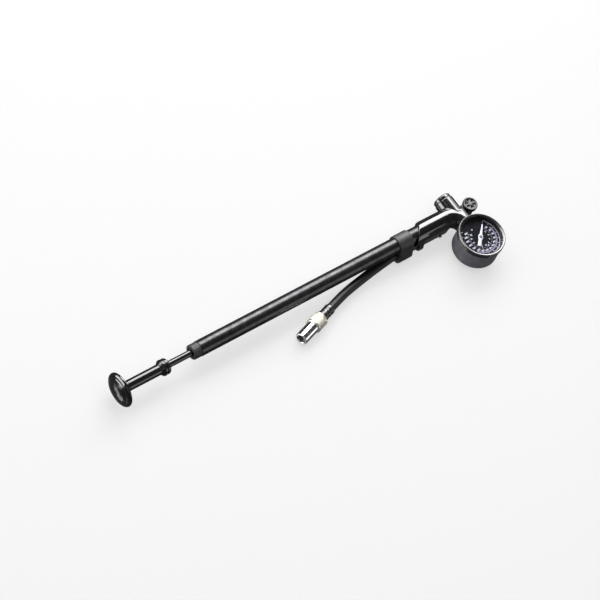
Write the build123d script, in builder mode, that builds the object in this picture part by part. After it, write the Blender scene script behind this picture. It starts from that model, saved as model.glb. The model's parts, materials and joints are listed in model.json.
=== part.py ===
from build123d import *
import math
import os

# High-pressure hand pump for bicycle air shocks and forks.
# Frame: +X runs along the barrel from the handle to the head, +Z leaves the gauge dial,
# and the origin is on the barrel axis at the handle-side end of the barrel tube.
# The hose lies under the barrel, the gauge stands off the head on the -Y side.
# Names ending in _r are radii; _x0/_x1 (and y, z) are the low and high ends of a piece.

# ================================================================== DIMENSIONS
fit = 0.02                  # gap between pieces that touch
slide = 0.03                # gap round pieces that plug into a bore

# barrel
barrel_r = 7.0
barrel_bore_r = 5.7
barrel_bore_in_head_r = barrel_r + slide
head_x = 245.0              # reference station of the head along the barrel
barrel_len = head_x + 24.0
cap_r = 6.7
cap_len = 7.5
cap_spigot_r = 5.66
cap_spigot_len = 8.0
cap_bore_r = 4.4

# rod and handle
rod_r = 3.0
rod_clearance = 0.04
stem_r = 4.75
stem_x0 = -74.6
spigot_len = 4.0            # stem's spigot in the knob
ferrule_r = 7.0
ferrule_x0, ferrule_x1 = -41.0, -32.0
rod_x0 = ferrule_x1 - 8.0
knob_r = 15.5
rim_near_x = -78.4          # rim edge towards the barrel
rim_far_x = -81.2           # rim edge away from the barrel
knob_dome = 5.4

# piston
piston_x0, piston_x1 = 234.5, 246.5
piston_r = 5.6
piston_rod_r = 2.0          # reduced end of the rod
shoulder_x = piston_x0 + 2.0
nut_x = piston_x1 - 3.0

# hose
hose_r = 4.0
hose_bore_r = 2.05
hose_y, hose_z = -4.3, -10.25

# head
collar_r = 9.05
collar_x0, collar_x1 = head_x - 15.0, head_x + 16.0
lobe_r = 3.75               # bulge round the hose
lip_r = 6.4
arm_r = 9.0
cross_r = 8.9
boss_x = head_x + 35.5
boss_y1 = 14.4
plug_r = 5.0
plug_head_r = 8.2
plug_head_len = 4.2
socket_x = head_x + 38.5
elbow_x0 = head_x + 25.0
fitting_r = 3.0
fitting_x0 = head_x - 2.6
port_r = fitting_r + slide
socket_stem_r = 4.8
socket_bore_r = socket_stem_r + 0.06

# bleed valve
bleed_x, bleed_y = head_x + 51.1, -0.9
bleed_lug_top = 3.0
button_r = 6.7
button_z0, button_z1 = 4.8, 8.6
bleed_stem_r = 1.2
bush_r = 3.22
bush_z0, bush_floor = -1.98, 1.1

# gauge
gauge_x, gauge_y = socket_x, -32.0
case_r = 20.7
case_wall = 1.2
case_inner_r = case_r - case_wall
case_back, case_front = -13.0, 9.0
bezel_r = 21.45
bezel_front = 12.0
window_r = 18.9
dial_z = 6.6
dial_thickness = 0.5
pointer_z = 7.6
tube_r, tube_z = 15.2, -5.6     # centre line of the curved tube

# gauge movement
gear_m = 0.25               # gear module
pinion_n, sector_n = 16, 80     # teeth on a full circle
addendum, dedendum, backlash = 0.22, 0.30, 0.05
pressure_angle = math.radians(20.0)
pinion_pitch_r = gear_m * pinion_n / 2
sector_pitch_r = gear_m * sector_n / 2
pivot_y = gauge_y + pinion_pitch_r + sector_pitch_r
gear_z0, gear_z1 = 1.0, 2.0
lower_plate = (-1.15, -0.15)    # bottom and top z
upper_plate = (3.9, 4.7)
plate_span = upper_plate[1] - lower_plate[0]

# coupler at the free end of the hose
coupler_deg = 16.5          # angle of the coupler's axis from the barrel
mouth_x, mouth_y = 90.4, -31.1
coupler_front_r = 5.65
coupler_front_len = 16.0
coupler_grip_r = 6.9
coupler_len = 29.0
thread_r = 3.85
thread_len = 9.0
crimp_len = 13.0

os.makedirs("parts", exist_ok=True)


# ================================================================== HELPERS
def save(name, part):
    part.label = name
    export_step(part, f"parts/{name}.step")


def facing_x(x, y=0, z=0):
    """Plane facing +X: local x is +Y, local y is +Z."""
    return Plane(origin=(x, y, z), x_dir=(0, 1, 0), z_dir=(1, 0, 0))


def facing_y(y, x=0):
    """Plane facing +Y: local x is -X, local y is +Z."""
    return Plane(origin=(x, y, 0), x_dir=(-1, 0, 0), z_dir=(0, 1, 0))


def facing_z(z, x=0, y=0):
    """Plane facing +Z: local x is +X, local y is +Y."""
    return Plane(origin=(x, y, z), x_dir=(1, 0, 0), z_dir=(0, 0, 1))


def hose_plane(x):
    """Plane facing +X, centred on the straight end of the hose."""
    return facing_x(x, hose_y, hose_z)


def bleed_plane(z):
    return facing_z(z, bleed_x, bleed_y)


def gauge_plane(z):
    return facing_z(z, gauge_x, gauge_y)


def upright(origin, degrees):
    """Upright plane: local x heads `degrees` from +X in the XY plane, local y is +Z."""
    heading = math.radians(degrees)
    return Plane(origin=origin, x_dir=(math.cos(heading), math.sin(heading), 0),
                 z_dir=(math.sin(heading), -math.cos(heading), 0))


def turned(outline, plane=Plane.XY, axis=Axis.X):
    """Solid of revolution; outline is (station along axis, radius) unless noted."""
    with BuildPart() as piece:
        with BuildSketch(plane):
            with BuildLine():
                Polyline(*outline, close=True)
            make_face()
        revolve(axis=axis)
    return piece.part


def ring(plane, outer_r, inner_r, length):
    """Straight ring, or a plain cylinder where inner_r is 0."""
    with BuildPart() as piece:
        with BuildSketch(plane):
            Circle(outer_r)
            if inner_r:
                Circle(inner_r, mode=Mode.SUBTRACT)
        extrude(amount=length)
    return piece.part


def coil_spring(start, direction, coil_r, wire_r, pitch, height):
    with BuildPart() as piece:
        with BuildLine() as coil:
            Helix(pitch=pitch, height=height, radius=coil_r, center=start, direction=direction)
        with BuildSketch(Plane(origin=coil.line @ 0, z_dir=coil.line % 0)):
            Circle(wire_r)
        sweep(path=coil.line, is_frenet=True)
    return piece.part


def polar(x, y, radius, angle):
    return (x + radius * math.cos(angle), y + radius * math.sin(angle))


head_plane = facing_z(0, head_x)    # local x is measured from head_x
gauge_axis = Axis((gauge_x, gauge_y, 0), (0, 0, 1))

# ================================================================== BARREL
with BuildPart() as barrel_tube:
    with BuildSketch(facing_x(0)):
        Circle(barrel_r)
        Circle(barrel_bore_r, mode=Mode.SUBTRACT)
    extrude(amount=barrel_len)
    handle_end = barrel_tube.edges().filter_by(GeomType.CIRCLE).group_by(Axis.X)[0]
    chamfer(handle_end.sort_by(SortBy.RADIUS)[-1], 0.3)
save("barrel_tube", barrel_tube.part)

# cap with a spigot in the tube; the two bores hold the bushing and the wiper
save("barrel_end_cap", turned([
    (-cap_len, 4.6), (-cap_len, cap_r - 0.7), (-cap_len + 0.7, cap_r), (-0.6, cap_r),
    (0, cap_r - 0.3), (0, cap_spigot_r), (cap_spigot_len, cap_spigot_r),
    (cap_spigot_len, cap_bore_r), (-4.2, cap_bore_r), (-4.2, 3.5), (-5.7, 3.5), (-5.7, 4.6),
]))

save("rod_bushing", ring(facing_x(-4.2 + fit), cap_bore_r - slide, rod_r + rod_clearance, 12.1))

# wiper: two lips point away from the barrel
save("rod_wiper", turned([
    (-5.72, 3.03), (-5.72, 4.56), (-6.7, 4.56), (-7.0, 4.2), (-6.6, 3.4), (-7.1, 3.03),
]))

# ================================================================== PLUNGER
with BuildPart() as pump_rod:
    with BuildSketch(facing_x(rod_x0)):
        Circle(rod_r)
    extrude(amount=shoulder_x - rod_x0)
    with BuildSketch(facing_x(shoulder_x)):
        Circle(piston_rod_r)
    extrude(amount=piston_x1 - piston_x0 - 3.0)
save("pump_rod", pump_rod.part)

# piston with an O-ring groove and a stepped bore for the rod
groove_x0, groove_x1 = piston_x0 + 4.6, piston_x0 + 6.6
save("piston_head", turned([
    (piston_x0, rod_r + fit), (piston_x0, 4.8), (piston_x0 + 0.8, piston_r),
    (groove_x0, piston_r), (groove_x0, 4.2), (groove_x1, 4.2), (groove_x1, piston_r),
    (nut_x, piston_r), (nut_x, piston_rod_r + fit), (shoulder_x + fit, piston_rod_r + fit),
    (shoulder_x + fit, rod_r + fit),
]))

with BuildPart() as piston_oring:
    with BuildSketch(Plane.XY):
        with Locations(((groove_x0 + groove_x1) / 2, 4.94)):
            Circle(0.72)
    revolve(axis=Axis.X)
save("piston_oring", piston_oring.part)

with BuildPart() as piston_nut:
    with BuildSketch(facing_x(nut_x + fit)):
        RegularPolygon(4.0, 6)
        Circle(piston_rod_r + fit, mode=Mode.SUBTRACT)
    extrude(amount=2.4)
save("piston_nut", piston_nut.part)

# beaded ferrule, solid at the stem end, bored for the rod at the other
save("handle_ferrule", turned([
    (ferrule_x0, stem_r - 0.02), (ferrule_x0 + 2.5, ferrule_r - 0.2),
    (ferrule_x0 + 3.0, ferrule_r + 0.2), (ferrule_x0 + 4.4, ferrule_r + 0.2),
    (ferrule_x0 + 4.8, ferrule_r - 0.4), (ferrule_x0 + 5.3, ferrule_r - 0.4),
    (ferrule_x0 + 5.7, ferrule_r), (ferrule_x1 - 1.2, ferrule_r),
    (ferrule_x1 - 0.3, ferrule_r - 0.6), (ferrule_x1, ferrule_r - 1.4),
    (ferrule_x1, rod_r + fit), (rod_x0 - fit, rod_r + fit), (rod_x0 - fit, 0), (ferrule_x0, 0),
]))

stem_spigot_r = 3.0
with BuildPart() as handle_stem:
    with BuildSketch(facing_x(stem_x0 - spigot_len)):
        Circle(stem_spigot_r)
    extrude(amount=spigot_len)
    with BuildSketch(facing_x(stem_x0)):
        Circle(stem_r)
    extrude(amount=ferrule_x0 - fit - stem_x0)
save("handle_stem", handle_stem.part)

# mushroom knob: dome on the -X side, rounded rim, curved flank down to a small neck;
# half outline as (x, radius)
knob_top = (rim_far_x - knob_dome, 0)
socket_floor = (stem_x0 - spigot_len - fit, 0)
socket_corner = (socket_floor[0], stem_spigot_r + fit)
socket_mouth = (stem_x0 - fit, stem_spigot_r + fit)
neck_end = (stem_x0 - fit, 5.6)
neck_foot = (stem_x0 - 1.2, 6.0)
rim_near = (rim_near_x, knob_r - 1.3)
rim_far = (rim_far_x, knob_r - 1.5)
with BuildPart() as handle_knob:
    with BuildSketch(Plane.XY):
        with BuildLine():
            Line(knob_top, socket_floor)
            Line(socket_floor, socket_corner)
            Line(socket_corner, socket_mouth)
            Line(socket_mouth, neck_end)
            Line(neck_end, neck_foot)
            Spline(neck_foot, (rim_near_x + 0.9, 10.0), rim_near,
                   tangents=((-0.5, 1.0), (-0.35, 1.0)))
            ThreePointArc(rim_near, (rim_far_x + 1.4, knob_r), rim_far)
            Spline(rim_far, (rim_far_x - knob_dome * 0.72, 8.2), knob_top,
                   tangents=((-0.45, -1.0), (0, -1.0)))
        make_face()
    revolve(axis=Axis.X)
save("handle_knob", handle_knob.part)

# ================================================================== HEAD
# collar: sleeve over the barrel with an oblique mouth and a flared lip round the hose
with BuildPart() as head_collar:
    with BuildSketch(facing_x(collar_x0)):
        Circle(collar_r)
        with Locations((hose_y, hose_z)):
            Circle(lobe_r)
        make_hull()
    extrude(amount=collar_x1 - collar_x0)
    with BuildSketch(facing_x(head_x - 7.5)):
        Circle(collar_r)
        with Locations((hose_y, hose_z)):
            Circle(lip_r)
        make_hull()
    extrude(amount=3.8)
    # oblique mouth
    split(bisect_by=Plane(origin=(head_x - 7.4, 0, 0), x_dir=(0, 0, 1), z_dir=(1, -0.66, 0)),
          keep=Keep.TOP)
    # cut away the underside on the handle side of the lip
    with BuildSketch(facing_z(-6.2, head_x - 17.5)):
        Rectangle(20.0, 40.0)
    extrude(amount=-20.0, mode=Mode.SUBTRACT)
    # bores for the barrel, the hose and the hose fitting
    for plane, bore_r, depth in (
        (facing_x(head_x - 20.0), barrel_bore_in_head_r, 50.0),
        (hose_plane(head_x - 20.0), hose_r + 0.06, 17.3),
        (hose_plane(head_x - 5.0), port_r, 30.0),
    ):
        with BuildSketch(plane):
            Circle(bore_r)
        extrude(amount=depth, mode=Mode.SUBTRACT)
save("head_collar", head_collar.part)

# seat of the lock screw: faces -Y and slightly down, centred on the hose fitting
lock_plane = Plane(origin=(head_x + 18.4, hose_y, hose_z), x_dir=(1, 0, 0),
                   z_dir=(0, -0.9468, -0.3219))
lock_screw_r = 0.74
oring_x = head_x + 19.95    # middle of the groove round the barrel
seat_r = 5.6
lug_r = 5.2
air_z = -3.6                # level of the air passage to the bleed valve

with BuildPart() as head_body:
    # arm on the +X side of the collar
    with BuildSketch(facing_x(collar_x1 + fit)):
        Circle(arm_r)
        with Locations((hose_y, hose_z)):
            Circle(lobe_r - 0.05)
        make_hull()
    extrude(amount=elbow_x0 - collar_x1)
    # elbow that turns the arm towards the gauge
    with BuildLine() as elbow_path:
        Line((collar_x1 + 2.0, 0), (elbow_x0, 0))
        JernArc(start=(elbow_x0, 0), tangent=(1, 0), radius=socket_x - elbow_x0, arc_size=-90)
    with BuildSketch(facing_x(collar_x1 + 2.0)):
        Circle(arm_r - 0.05)
    sweep(path=elbow_path.line)
    # cross boss towards +Y, gauge boss towards -Y, lug for the bleed valve
    for plane, radius, length in (
        (facing_y(-2.0, boss_x), cross_r, boss_y1 + 2.0),
        (facing_y(-21.0, socket_x), cross_r - 0.2, 20.0),
        (bleed_plane(-7.4), lug_r, 7.4 + bleed_lug_top),
    ):
        with BuildSketch(plane):
            Circle(radius)
        extrude(amount=length)
    # web between the cross boss and the lug
    web_x0, web_x1 = boss_x + 2, bleed_x - 1.0
    with BuildSketch(facing_z(-5.5)):
        with BuildLine():
            Polyline((web_x0, -6.0), (web_x0, 7.0), (web_x1, bleed_y + 4.9),
                     (web_x1, bleed_y - 4.9), close=True)
        make_face()
    extrude(amount=5.5 + 1.6)
    for plane, cut_r, depth in (
        (gauge_plane(-25.0), case_r + 0.08, 50.0),              # saddle on the gauge case
        (gauge_plane(6.4), bezel_r + 0.15, 20.0),               # clearance round the bezel
        (bleed_plane(bleed_lug_top), button_r + 0.5, 20.0),     # spot face under the button
        (lock_plane.offset(2.0), lock_screw_r + 0.04, 4.0),     # lock screw
    ):
        with BuildSketch(plane):
            Circle(cut_r)
        extrude(amount=depth, mode=Mode.SUBTRACT)
    # bore for the barrel tube with O-ring groove, then valve seat and valve chamber
    passage_end = boss_x - head_x + 1.0
    with BuildSketch(head_plane):
        with BuildLine():
            Polyline((14.0, 0), (14.0, barrel_bore_in_head_r), (19.0, barrel_bore_in_head_r),
                     (19.0, 8.1), (20.9, 8.1), (20.9, barrel_bore_in_head_r),
                     (24.05, barrel_bore_in_head_r), (24.05, seat_r + 0.05),
                     (26.6, seat_r + 0.05), (26.6, 3.2), (33.6, 3.2), (33.6, 1.2),
                     (passage_end, 1.2), (passage_end, 0), close=True)
        make_face()
    revolve(axis=Axis.X, mode=Mode.SUBTRACT)
    for plane, cut_r, depth in (
        (facing_y(7.9, boss_x), plug_r + 0.05, 20.0),           # side plug
        (facing_y(0, boss_x), 1.5, 10.0),                       # passage to the side plug
        (facing_y(-20.0, socket_x), socket_bore_r, 15.9),       # gauge socket
        (facing_y(-6.0, socket_x), 1.1, 7.0),                   # air passage to the gauge
        (hose_plane(collar_x1 - 2.0), port_r, 7.0),             # hose port
        (bleed_plane(bleed_lug_top + 1.0), bush_r + 0.04, -6.0),    # bleed bush
        (bleed_plane(-1.0), 2.7, -5.2),                         # cavity under the bush
        (facing_x(boss_x, z=air_z), 0.7, bleed_x - boss_x),     # air passage to the cavity
    ):
        with BuildSketch(plane):
            Circle(cut_r)
        extrude(amount=depth, mode=Mode.SUBTRACT)
save("head_body", head_body.part)

# O-ring in the barrel groove, flattened against the groove's floor
with BuildPart() as barrel_oring:
    with BuildSketch(Plane.XY):
        with Locations((oring_x, 7.81)):
            Ellipse(0.85, 0.74)
        with Locations((oring_x, 8.4)):
            Rectangle(3, 0.62, mode=Mode.SUBTRACT)
    revolve(axis=Axis.X)
save("barrel_oring", barrel_oring.part)

save("valve_seat", turned([
    (24.1, 1.4), (24.1, seat_r), (26.5, seat_r), (26.5, 2.5), (25.9, 1.4),
], head_plane))

save("check_poppet", turned([
    (26.55, 0), (26.55, 2.5), (28.0, 2.5), (28.0, 1.0), (30.6, 1.0), (30.6, 0),
], head_plane))

save("check_spring", coil_spring(start=(head_x + 28.4, 0, 0), direction=(1, 0, 0),
                                 coil_r=1.75, wire_r=0.26, pitch=1.2, height=4.7))

# side plug: chamfered head, O-ring groove, hexagon recess
plug_top = boss_y1 + plug_head_len
with BuildPart() as side_plug:
    with BuildSketch(facing_y(boss_y1 + fit, boss_x)):
        Circle(plug_head_r)
    extrude(amount=plug_head_len)
    chamfer(side_plug.edges().filter_by(GeomType.CIRCLE).sort_by(Axis.Y)[-1], 0.9)
    with BuildSketch(facing_y(8.0, boss_x)):
        Circle(plug_r)
    extrude(amount=boss_y1 + 0.1 - 8.0)
    with BuildSketch(facing_y(9.6, boss_x)):
        Circle(plug_r + 0.5)
        Circle(4.1, mode=Mode.SUBTRACT)
    extrude(amount=1.5, mode=Mode.SUBTRACT)
    with BuildSketch(facing_y(plug_top + 0.4, boss_x)):
        RegularPolygon(3.0, 6)
    extrude(amount=-3.4, mode=Mode.SUBTRACT)
save("side_plug", side_plug.part)

with BuildPart() as side_plug_oring:
    with BuildSketch(facing_z(0, boss_x)):
        with Locations((4.57, 9.6 + 1.5 / 2)):
            Ellipse(0.43, 0.68)
    revolve(axis=Axis((boss_x, 0, 0), (0, 1, 0)))
save("side_plug_oring", side_plug_oring.part)

# fitting: body in the head, barb in the hose, bored through
barb_x0 = head_x - 14.0
with BuildPart() as hose_fitting:
    with BuildSketch(hose_plane(fitting_x0)):
        Circle(fitting_r)
    extrude(amount=22.8)
    with BuildSketch(hose_plane(barb_x0)):
        Circle(2.0)
    extrude(amount=11.5)
    with BuildSketch(hose_plane(barb_x0)):
        Circle(1.2)
    extrude(amount=60.0, mode=Mode.SUBTRACT)
save("hose_fitting", hose_fitting.part)

with BuildPart() as hose_lock_screw:
    for start, radius, length in ((3.06, lock_screw_r, 1.0), (3.9, 1.35, 0.9)):
        with BuildSketch(lock_plane.offset(start)):
            Circle(radius)
        extrude(amount=length)
    # hexagon recess
    with BuildSketch(lock_plane.offset(5.0)):
        RegularPolygon(0.6, 6)
    extrude(amount=-0.8, mode=Mode.SUBTRACT)
save("hose_lock_screw", hose_lock_screw.part)

# ================================================================== BLEED VALVE
# cup-shaped bush with a hole in its floor for the button's stem
with BuildPart() as bleed_bush:
    with BuildSketch(bleed_plane(bush_z0)):
        Circle(bush_r)
        Circle(bleed_stem_r + 0.06, mode=Mode.SUBTRACT)
    extrude(amount=bush_floor)
    with BuildSketch(bleed_plane(-0.9)):
        Circle(bush_r)
        Circle(2.6, mode=Mode.SUBTRACT)
    extrude(amount=bleed_lug_top + 0.9 + 0.2)
save("bleed_bush", bleed_bush.part)

# button: rounded disc, dished top with a raised centre, stem downwards
stem_z0 = -4.4
with BuildPart() as bleed_button:
    with BuildSketch(bleed_plane(button_z0)):
        Circle(button_r)
    extrude(amount=button_z1 - button_z0)
    fillet(bleed_button.edges().filter_by(GeomType.CIRCLE).sort_by(Axis.Z)[-1], 0.9)
    with BuildSketch(bleed_plane(button_z1 + 1.0)):
        Circle(4.6)
    extrude(amount=-1.9, mode=Mode.SUBTRACT)
    with BuildSketch(bleed_plane(button_z1 - 1.0)):
        Circle(2.6)
    extrude(amount=0.7)
    with BuildSketch(bleed_plane(stem_z0)):
        Circle(bleed_stem_r)
    extrude(amount=button_z0 + 1.0 - stem_z0)
save("bleed_button", bleed_button.part)

save("bleed_spring", coil_spring(start=(bleed_x, bleed_y, -0.5), direction=(0, 0, 1),
                                 coil_r=2.0, wire_r=0.28, pitch=1.25, height=4.95))

# seal under the bush, and the clip that carries it on the stem
save("bleed_seal", ring(bleed_plane(-2.9), 2.4, bleed_stem_r + fit, 0.88))
save("bleed_clip", ring(bleed_plane(-3.6), 2.2, bleed_stem_r + fit, 0.66))

# ================================================================== GAUGE
# case: cup with a rounded back edge, open towards +Z
case_floor = case_back + case_wall
with BuildPart() as gauge_case:
    with BuildSketch(gauge_plane(case_back)):
        Circle(case_r)
    extrude(amount=case_front - case_back)
    fillet(gauge_case.edges().filter_by(GeomType.CIRCLE).sort_by(Axis.Z)[0], 2.6)
    for plane, cut_r, depth in (
        (gauge_plane(case_floor), case_inner_r - 1.6, 2.0),     # narrow bottom of the cavity
        (gauge_plane(case_floor + 1.6), case_inner_r, 40.0),    # main cavity
        (facing_y(gauge_y + 10.0, gauge_x), socket_bore_r, 20.0),   # hole for the socket
    ):
        with BuildSketch(plane):
            Circle(cut_r)
        extrude(amount=depth, mode=Mode.SUBTRACT)
save("gauge_case", gauge_case.part)

# bezel outline as (radius, z)
save("gauge_bezel", turned([
    (case_r + 0.04, 7.2), (bezel_r - 0.35, 7.2), (bezel_r, 7.6), (bezel_r, bezel_front - 1.0),
    (bezel_r - 1.0, bezel_front), (window_r + 0.7, bezel_front),
    (window_r, bezel_front - 1.15), (window_r, bezel_front - 1.75),
    (case_r + 0.04, bezel_front - 1.75),
], upright((gauge_x, gauge_y, 0), 0), gauge_axis))

save("gauge_lens", ring(gauge_plane(case_front + fit), case_r - 0.2, 0, 1.2))
save("lens_gasket", ring(gauge_plane(case_front - fit - 0.8),
                         case_inner_r - slide, case_inner_r - 1.2, 0.8))
save("gauge_dial", ring(gauge_plane(dial_z - dial_thickness),
                        case_inner_r - 0.15, 1.6, dial_thickness))

# socket: block inside the case, then the stem out through the case wall to the head
with BuildPart() as gauge_socket:
    with BuildSketch(facing_z(-9.6, gauge_x, gauge_y + 13.6)):
        Rectangle(12.0, 8.4)
    extrude(amount=8.4)
    with BuildSketch(facing_y(gauge_y + 17.6, gauge_x)):
        Circle(socket_stem_r)
    extrude(amount=10.2)
    with BuildSketch(facing_y(gauge_y + 14.0, gauge_x)):
        Circle(1.0)
    extrude(amount=20.0, mode=Mode.SUBTRACT)
    # pocket for the start of the curved tube
    with BuildSketch(upright((gauge_x, gauge_y, 0), 74.0)):
        with Locations((tube_r, tube_z)):
            SlotOverall(6.5, 2.3, rotation=90)
    revolve(axis=gauge_axis, revolution_arc=-14.0, mode=Mode.SUBTRACT)
save("gauge_socket", gauge_socket.part)

# flattened tube: starts in the socket and runs clockwise round the case, seen from +Z
with BuildPart() as bourdon_tube:
    with BuildSketch(upright((gauge_x, gauge_y, 0), 73.0)):
        with Locations((tube_r, tube_z)):
            SlotOverall(6.4, 2.2, rotation=90)
            SlotOverall(5.7, 1.5, rotation=90, mode=Mode.SUBTRACT)
    revolve(axis=gauge_axis, revolution_arc=-298.0)
save("bourdon_tube", bourdon_tube.part)

# ================================================================== GAUGE MOVEMENT
post_spots = [
    (gauge_x + 5.2, gauge_y - 4.2),
    (gauge_x - 5.2, gauge_y - 4.2),
    (gauge_x + 5.2, gauge_y + 13.4),
]

with BuildPart() as movement_plates:
    for z0, z1 in (lower_plate, upper_plate):
        with BuildSketch(facing_z(z0)):
            with Locations((gauge_x, gauge_y + 4.6)):
                RectangleRounded(13.0, 21.0, 2.0)
            with Locations((gauge_x, gauge_y), (gauge_x, pivot_y)):
                Circle(0.66, mode=Mode.SUBTRACT)
            with Locations(*post_spots):
                Circle(0.85, mode=Mode.SUBTRACT)
        extrude(amount=z1 - z0)
save("movement_plates", movement_plates.part)

# posts: thick between the plates, thin through them
with BuildPart() as plate_posts:
    for x, y in post_spots:
        with BuildSketch(facing_z(lower_plate[1] + fit, x, y)):
            Circle(1.25)
        extrude(amount=4.0)
        with BuildSketch(facing_z(lower_plate[0], x, y)):
            Circle(0.8)
        extrude(amount=plate_span)
save("plate_posts", plate_posts.part)

# two round feet between the upper plate and the dial
feet_z0 = upper_plate[1] + fit
with BuildPart() as dial_feet:
    for x in (gauge_x + 4.6, gauge_x - 4.6):
        with BuildSketch(facing_z(feet_z0, x, gauge_y - 1.0)):
            Circle(1.2)
        extrude(amount=dial_z - dial_thickness - fit - feet_z0)
save("dial_feet", dial_feet.part)


def involute(angle):
    return math.tan(angle) - angle


def half_tooth(teeth, steps=8):
    """Half an involute tooth as (radius, half angle) pairs from root to tip."""
    pitch_r = gear_m * teeth / 2
    base_r = pitch_r * math.cos(pressure_angle)
    tip_r = pitch_r + addendum
    root_r = pitch_r - dedendum
    base_half = (math.pi * gear_m / 2 - backlash) / 2 / pitch_r + involute(pressure_angle)
    pairs = []
    start_r = max(base_r, root_r)
    if root_r < base_r:
        pairs.append((root_r, base_half))
    for i in range(steps + 1):
        radius = start_r + (tip_r - start_r) * i / steps
        angle = math.acos(min(1.0, base_r / radius))
        pairs.append((radius, base_half - involute(angle)))
    return pairs


def tooth_points(y, teeth, centres):
    """Outline points of teeth at the given centre angles, round (gauge_x, y)."""
    flank = half_tooth(teeth)
    points = []
    for centre in centres:
        points += [polar(gauge_x, y, radius, centre - half) for radius, half in flank]
        points += [polar(gauge_x, y, radius, centre + half) for radius, half in reversed(flank)]
    return points


# pinion and pointer shaft; one tooth space faces the pivot (+Y)
pinion_points = tooth_points(gauge_y, pinion_n, [
    math.radians(90.0) + (k + 0.5) * 2 * math.pi / pinion_n for k in range(pinion_n)])
with BuildPart() as pointer_pinion:
    with BuildSketch(facing_z(gear_z0 - 0.1)):
        with BuildLine():
            Polyline(*pinion_points, close=True)
        make_face()
    extrude(amount=gear_z1 - gear_z0 + 0.2)
    with BuildSketch(gauge_plane(lower_plate[0])):
        Circle(0.6)
    extrude(amount=pointer_z - 0.05 - lower_plate[0])
save("pointer_pinion", pointer_pinion.part)

# sector: tooth 0 points straight at the pinion (-Y from the pivot)
first_tooth, last_tooth = -13, 1


def sector_angle(tooth):
    return math.radians(-90.0 + tooth * 360.0 / sector_n)


sector_points = tooth_points(pivot_y, sector_n, [
    sector_angle(k) for k in range(first_tooth, last_tooth + 1)])
rim_r = sector_pitch_r - 0.32
rim_start = polar(gauge_x, pivot_y, rim_r, sector_angle(first_tooth - 0.5))
rim_end = polar(gauge_x, pivot_y, rim_r, sector_angle(last_tooth + 0.5))
tail_x, tail_y = polar(gauge_x, pivot_y, 5.0, math.radians(153.0))

with BuildPart() as sector_gear:
    with BuildSketch(facing_z(gear_z0)):
        with BuildLine():
            Polyline((gauge_x + 1.2, pivot_y), rim_start, *sector_points, rim_end, close=True)
        make_face()
        # hub
        with Locations((gauge_x, pivot_y)):
            Circle(1.9)
        # tail arm and its round end
        with BuildLine():
            Polyline((gauge_x + 0.9, pivot_y + 1.2), (gauge_x - 0.9, pivot_y - 1.2),
                     (tail_x - 0.5, tail_y - 0.9), (tail_x + 0.5, tail_y + 0.9), close=True)
        make_face()
        with Locations((tail_x, tail_y)):
            Circle(1.0)
        # lightening window between the spokes
        with BuildLine():
            Polyline((gauge_x - 3.0, pivot_y - 2.9), (gauge_x - 1.4, pivot_y - 7.9),
                     (gauge_x - 3.6, pivot_y - 7.1), (gauge_x - 5.9, pivot_y - 5.4), close=True)
        make_face(mode=Mode.SUBTRACT)
        with Locations((gauge_x, pivot_y)):
            Circle(0.6, mode=Mode.SUBTRACT)
    extrude(amount=gear_z1 - gear_z0)
save("sector_gear", sector_gear.part)

save("sector_shaft", ring(facing_z(lower_plate[0], gauge_x, pivot_y), 0.58, 0, plate_span))

# link from the sector's tail to a point above the free end of the curved tube
tip_x, tip_y = gauge_x - 10.2, gauge_y + 10.4
link_half_width = 0.55
link_angle = math.atan2(tip_y - tail_y, tip_x - tail_x)
side_x = -math.sin(link_angle) * link_half_width
side_y = math.cos(link_angle) * link_half_width
with BuildPart() as tip_link:
    with BuildSketch(facing_z(gear_z1 + 0.25)):
        with BuildLine():
            Polyline((tail_x + side_x, tail_y + side_y), (tail_x - side_x, tail_y - side_y),
                     (tip_x - side_x, tip_y - side_y), (tip_x + side_x, tip_y + side_y),
                     close=True)
        make_face()
        with Locations((tail_x, tail_y), (tip_x, tip_y)):
            Circle(0.95)
        with Locations((tip_x, tip_y)):
            Circle(0.4, mode=Mode.SUBTRACT)
    extrude(amount=0.5)
save("tip_link", tip_link.part)

# flat spiral hairspring with a collet round the pinion's shaft
spiral_turns, spiral_steps = 3.5, 140
spiral_r0, spiral_r1 = 1.1, 3.9
band = 0.12                 # radial thickness of the spiral


def spiral_edge(offset):
    points = []
    for i in range(spiral_steps + 1):
        part_way = i / spiral_steps
        radius = spiral_r0 + (spiral_r1 - spiral_r0) * part_way + offset
        points.append(polar(gauge_x, gauge_y, radius, part_way * spiral_turns * 2 * math.pi))
    return points


with BuildPart() as hairspring:
    with BuildSketch(facing_z(2.95)):
        with BuildLine():
            Polyline(*spiral_edge(band / 2), *reversed(spiral_edge(-band / 2)), close=True)
        make_face()
    extrude(amount=0.5)
    with BuildSketch(gauge_plane(2.85)):
        Circle(1.2)
        Circle(0.62, mode=Mode.SUBTRACT)
    extrude(amount=0.7)
save("hairspring", hairspring.part)

# pointer at 45 degrees: long tapered blade, broad tail, round hub
# one side as (distance from the hub, half width), tail first
pointer_side = [(-9.6, 1.5), (-3.0, 1.15), (0, 1.3), (4.5, 0.95), (13.9, 0.28)]
diagonal = math.radians(45)
pointer_plane = Plane(origin=(gauge_x, gauge_y, pointer_z),
                      x_dir=(math.cos(diagonal), math.sin(diagonal), 0), z_dir=(0, 0, 1))
with BuildPart() as pointer:
    with BuildSketch(pointer_plane):
        with BuildLine():
            Polyline(*[(x, -y) for x, y in pointer_side], *reversed(pointer_side), close=True)
        make_face()
        Circle(2.1)
    extrude(amount=0.4)
    with BuildSketch(pointer_plane.offset(0.4)):
        Circle(1.3)
    extrude(amount=0.5)
save("pointer", pointer.part)

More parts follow.
